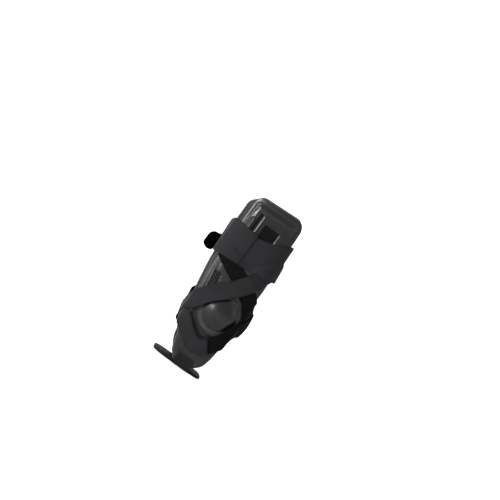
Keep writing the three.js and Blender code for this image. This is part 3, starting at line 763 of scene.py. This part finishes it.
def build_calf_strap():
    """The wide strap: a loop round the taut form between its two edges, lapped on its outer side."""
    angle = np.linspace(0, -360, 340, endpoint=False)
    shares = packed_shares(2, 0.045, 0.06) * 2 - 1
    x, y, z = taut_point(angle, np.full_like(angle, calf_strap_middle_z)).T
    top, bottom = calf_strap_edge("top", x), calf_strap_edge("bottom", x)
    top = top + lap_rise * soft_step(lap_edge_x + 1.2, lap_edge_x - 1, x) * soft_step(10, -30, y)
    z = ((top + bottom) / 2)[:, None] + shares[None, :] * ((top - bottom) / 2)[:, None]
    angles = np.broadcast_to(angle[:, None], z.shape)
    base = taut_point(angles, z)
    direction = taut_axes(angles, z)[2]
    edge = (1 - np.abs(shares))[None, :] * ((top - bottom) / 2)[:, None]
    on_outer_side = base[..., 1] < 0
    lap = lap_step * soft_step(lap_edge_x + 0.6, lap_edge_x - 0.6, base[..., 0]) * on_outer_side
    travelled = np.concatenate([[0], np.cumsum(np.linalg.norm(np.diff(base[:, 0], axis=0), axis=1))])
    ripple = 0.2 * np.sin(travelled / 11)[:, None] * np.cos(2.5 * shares + travelled[:, None] / 30)
    lift = strap_seat + calf_strap_wall / 2 + raised_by("calf", base) + ripple
    thickness = rounded_wall(edge, calf_strap_wall)
    outer = base + direction * (lift + thickness + lap * soft_step(0, 1.5, edge))[..., None]
    inner = base + direction * (lift - thickness)[..., None]
    closing = np.append(travelled, travelled[-1] + np.linalg.norm(base[0, 0] - base[-1, 0]))
    # painted shade: the lap mark is a narrow dark line along the lapped end's edge on the outer side, where
    # it steps down
    seam = on_outer_side * np.exp(-(((base[..., 0] - lap_edge_x) / 0.9) ** 2))
    marks = {"edge_distance": edge, "lap": seam}
    return solid_between("calf_strap_webbing", outer, inner, closing, shares * 26, is_loop=True, marks=marks)


# Materials

class Value:
    """A number inside a material, for plain arithmetic."""

    def __init__(self, finish, socket):
        self.finish = finish
        self.socket = socket

    def maths(self, operation, *values):
        return self.finish.node("ShaderNodeMath", {"operation": operation}, dict(enumerate(values)))

    def __add__(self, other):
        return self.maths("ADD", self, other)

    def __radd__(self, other):
        return self.maths("ADD", other, self)

    def __sub__(self, other):
        return self.maths("SUBTRACT", self, other)

    def __rsub__(self, other):
        return self.maths("SUBTRACT", other, self)

    def __mul__(self, other):
        return self.maths("MULTIPLY", self, other)

    def __rmul__(self, other):
        return self.maths("MULTIPLY", other, self)

    def __truediv__(self, other):
        return self.maths("DIVIDE", self, other)

    def __pow__(self, other):
        return self.maths("POWER", self, other)

    def __abs__(self):
        return self.maths("ABSOLUTE", self)

    def wave(self):
        return self.maths("SINE", self)


class Finish:
    """A material whose nodes are made by one method."""

    def __init__(self, name):
        self.material = bpy.data.materials.new(name)
        self.material.use_nodes = True
        self.tree = self.material.node_tree
        self.shader = self.tree.nodes["Principled BSDF"]

    def node(self, type, settings, inputs, output=0):
        made = self.tree.nodes.new(type)
        for key, value in settings.items():
            setattr(made, key, value)
        for key, value in inputs.items():
            self.feed(made.inputs[key], value)
        return Value(self, made.outputs[output])

    def feed(self, socket, value):
        if isinstance(value, Value):
            self.tree.links.new(value.socket, socket)
        else:
            socket.default_value = value

    def set(self, **inputs):
        for key, value in inputs.items():
            self.feed(self.shader.inputs[key.replace("_", " ").title().replace("Ior", "IOR")], value)

    def noise(self, scale, detail=2.0, roughness=0.5):
        place = self.node("ShaderNodeTexCoord", {}, {}, "Object")
        values = {"Vector": place, "Scale": scale, "Detail": detail, "Roughness": roughness}
        return self.node("ShaderNodeTexNoise", {}, values)

    def mark(self, name):
        return self.node("ShaderNodeAttribute", {"attribute_name": name}, {}, "Fac")

    def strap_place(self):
        place = self.node("ShaderNodeTexCoord", {}, {}, "UV")
        split = self.node("ShaderNodeSeparateXYZ", {}, {"Vector": place}, "X")
        return split, Value(self, split.socket.node.outputs["Y"])

    def between(self, share, low, high):
        """Colour between two colours, by the Mix node's colour sockets."""
        return self.node("ShaderNodeMix", {"data_type": "RGBA"}, {0: share, 6: (*low, 1), 7: (*high, 1)}, 2)

    def bump(self, height, distance, strength=1.0):
        values = {"Height": height, "Distance": distance, "Strength": strength}
        self.set(normal=self.node("ShaderNodeBump", {}, values))


def shell_plastic():
    """Semi-gloss moulded plastic: a dull base under a glossy coat, which is worn at the edges and missing in
    the hollows, where the base colour is also darkened as painted shade; with a fine grain and soft handling
    marks."""
    finish = Finish("semi_gloss_moulded_plastic")
    grain = finish.noise(1500, 2)
    cloud = finish.noise(45, 4)
    wear = finish.mark("edge_wear")
    hollow_dullness_and_shade = finish.mark("hollow_dullness_and_shade")
    # tone: lighter where the edges are worn, and darkened in the hollows as painted shade
    tone = (cloud * 0.7 + wear * 0.6) * (1 - hollow_dullness_and_shade * 0.9)
    finish.set(
        base_color=finish.between(tone, (0.002, 0.002, 0.0023), (0.013, 0.0128, 0.0142)),
        roughness=0.5 + hollow_dullness_and_shade * 0.3,
        specular_ior_level=0.05,
        coat_weight=(1 - hollow_dullness_and_shade * 0.9) * (0.5 + cloud * 0.3),
        coat_roughness=0.24,
        coat_ior=1.36,
    )
    finish.bump(grain * 0.00005 + cloud * 0.0002, 1.0, 0.5)
    return finish.material


def padding_cloth():
    """Black knitted cover of the padding, with a tighter, browner bound edge."""
    finish = Finish("knitted_padding_cloth")
    along_strap, across_strap = finish.strap_place()
    knit = (along_strap * 4200).wave() * (across_strap * 4200).wave()
    binding = finish.mark("binding")
    fuzz = finish.noise(900, 3)
    finish.set(
        base_color=finish.between(binding * 0.8 + fuzz * 0.2, (0.007, 0.0065, 0.007), (0.016, 0.01, 0.008)),
        roughness=0.95,
        sheen_weight=0.25,
        sheen_roughness=0.5,
    )
    finish.bump(knit * 0.00012 + fuzz * 0.0003, 1.0, 0.8)
    return finish.material


def plate_plastic():
    """Matt moulded plastic with a fine spark texture and scuffs."""
    finish = Finish("matt_plate_plastic")
    grain = finish.noise(1100, 3)
    cloud = finish.noise(60, 3)
    finish.set(
        base_color=finish.between(cloud, (0.006, 0.006, 0.0068), (0.0125, 0.0122, 0.0135)),
        roughness=0.55 + grain * 0.2,
        specular_ior_level=0.02,
    )
    finish.bump(grain * 0.0001, 1.0, 0.6)
    return finish.material


def webbing(name, low, high, rib, nap, sheen, gloss):
    """Woven webbing: ribs along the strap, picks across it, a stitched line by its edge and a brushed nap."""
    finish = Finish(name)
    along_strap, across_strap = finish.strap_place()
    edge = finish.mark("edge_distance")
    ribs = (across_strap * (2000 * math.pi / rib)).wave()
    picks = (along_strap * (2000 * math.pi / rib * 0.8)).wave()
    fibres = finish.noise(1300, 4, 0.65)
    cloud = finish.noise(38, 4)
    from_seam = abs(edge - 3.2)
    seam = finish.node(
        "ShaderNodeMapRange",
        {"interpolation_type": "SMOOTHSTEP"},
        {"Value": from_seam, "From Min": 0.15, "From Max": 0.55, "To Min": 1.0, "To Max": 0.0},
    )
    stitches = seam * ((along_strap * 2100).wave() * 0.5 + 0.5)
    # painted shade: the base colour is darkened close to the strap's edges, where the strap meets what it
    # lies on
    rim = (edge * edge * 1.6 + 1) ** -1.0
    # the lap mark subtracted from the colour share is painted shade along the calf strap's lap edge
    finish.set(
        base_color=finish.between(
            cloud * 0.55 + fibres * 0.5 + stitches * 0.25 - 0.1 - finish.mark("lap") - rim * 0.9, low, high
        ),
        roughness=0.88 + fibres * 0.1,
        specular_ior_level=gloss,
        sheen_weight=sheen,
        sheen_roughness=0.45,
    )
    weave = ribs * picks * 0.00008 + fibres * nap + stitches * 0.0002 - seam * 0.00025
    finish.bump(weave, 1.0, 0.7)
    return finish.material


def charcoal_webbing():
    low, high = (0.0068, 0.0066, 0.0077), (0.0135, 0.0131, 0.0148)
    return webbing("charcoal_brushed_webbing", low, high, rib=0.9, nap=0.00035, sheen=0.03, gloss=0.12)


def black_webbing():
    low, high = (0.002, 0.0018, 0.002), (0.0045, 0.0042, 0.0045)
    return webbing("black_elastic_webbing", low, high, rib=1.3, nap=0.0002, sheen=0.0, gloss=0.03)


# Stage, light and camera

def build_stage():
    """A pale floor that curves up into a backdrop far behind the brace."""
    depth = np.linspace(-14, 2.5, 60)
    bend = np.linspace(0, math.pi / 2, 24)[1:]
    radius = 1.6
    profile_y = np.concatenate([depth, 2.5 + radius * np.sin(bend), np.full(10, 2.5 + radius)])
    wall_z = np.linspace(radius, 6, 11)[1:]
    profile_z = np.concatenate([0 * depth, radius * (1 - np.cos(bend)), wall_z])
    x = np.linspace(-14, 14, 40)
    grid_x, grid_y = np.meshgrid(x, profile_y, indexing="ij")
    grid_z = np.broadcast_to(profile_z, grid_x.shape)
    points = np.stack([grid_x, grid_y, grid_z], -1).reshape(-1, 3)
    r, c = np.meshgrid(np.arange(len(x) - 1), np.arange(len(profile_y) - 1), indexing="ij")
    at = (r * len(profile_y) + c).ravel()
    quads = np.stack([at, at + len(profile_y), at + len(profile_y) + 1, at + 1], 1)
    mesh = bpy.data.meshes.new("stage_floor")
    mesh.from_pydata(points.tolist(), [], quads.tolist())
    mesh.polygons.foreach_set("use_smooth", np.ones(len(mesh.polygons), bool))
    floor = bpy.data.objects.new("stage_floor", mesh)
    bpy.context.scene.collection.objects.link(floor)
    finish = Finish("pale_stage")
    finish.set(base_color=(0.95, 0.95, 0.95, 1), roughness=0.9)
    floor.data.materials.append(finish.material)


def add_light(name, place, aim, size, power):
    """A square soft light that points at a place."""
    data = bpy.data.lights.new(name, "AREA")
    data.size = size
    data.energy = power
    light = bpy.data.objects.new(name, data)
    light.location = place
    light.visible_camera = False
    light.rotation_euler = (Vector(aim) - Vector(place)).to_track_quat("-Z", "Y").to_euler()
    bpy.context.scene.collection.objects.link(light)


def build_lights():
    world = bpy.data.worlds.new("studio")
    world.use_nodes = True
    background = world.node_tree.nodes["Background"]
    background.inputs["Color"].default_value = (1, 1, 1, 1)
    background.inputs["Strength"].default_value = 0.85
    bpy.context.scene.world = world
    bpy.context.scene.view_settings.view_transform = "Standard"
    middle = (0, 0, 0.1)
    add_light("overhead_light", (0, 0.4, 2.6), (0, 0.4, 0), 3.2, 45)
    add_light("backdrop_light", (0, 1.2, 2.8), (0, 4.2, 0.8), 2.5, 75)
    add_light("left_softbox", (-1.1, -0.62, 0.26), (0, 0, 0.15), 0.3, 20)
    add_light("low_softbox", (-0.5, -0.6, 0.08), middle, 0.14, 1.8)
    add_light("right_softbox", (0.9, -0.2, 0.6), middle, 0.6, 1)


def build_camera():
    """The camera stands level with the brace on its outer side and is rolled, so that the brace leans."""
    eye = Vector((-143.8, -1525, 156.8)) * MM
    aim = Vector((-10.2, -18.8, 191.4)) * MM
    roll = math.radians(36.1)
    back = (eye - aim).normalized()
    level = Vector((0, 0, 1)).cross(back).normalized()
    upright = back.cross(level)
    x_axis = level * math.cos(roll) + upright * math.sin(roll)
    y_axis = upright * math.cos(roll) - level * math.sin(roll)
    data = bpy.data.cameras.new("photo_camera")
    data.sensor_width = 36
    data.lens = 76.9
    data.clip_end = 50
    camera = bpy.data.objects.new("photo_camera", data)
    turn = Matrix((x_axis, y_axis, back)).transposed()
    camera.matrix_world = Matrix.Translation(eye) @ turn.to_4x4()
    bpy.context.scene.collection.objects.link(camera)
    bpy.context.scene.camera = camera


def dress(piece, node, material):
    """Gives a piece its material, attaches it to the root body and hides the CAD node that it stands for."""
    piece.data.materials.clear()
    piece.data.materials.append(material)
    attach(piece, "root")
    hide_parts(node)


shell_material = shell_plastic()
cloth_material = padding_cloth()
charcoal_material = charcoal_webbing()
black_material = black_webbing()
for piece, node in zip(build_shells(), ("medial_shell", "lateral_shell")):
    dress(piece, node, shell_material)
for piece, node in zip(build_liners(), ("medial_liner", "lateral_liner")):
    dress(piece, node, cloth_material)
dress(build_plate(), "heel_plate", plate_plastic())
dress(build_calf_strap(), "calf_strap", charcoal_material)
dress(build_heel_strap(), "heel_strap", charcoal_material)
dress(build_outer_cross_strap(), "outer_cross_strap", black_material)
dress(build_inner_cross_strap(), "inner_cross_strap", black_material)
build_stage()
build_lights()
build_camera()
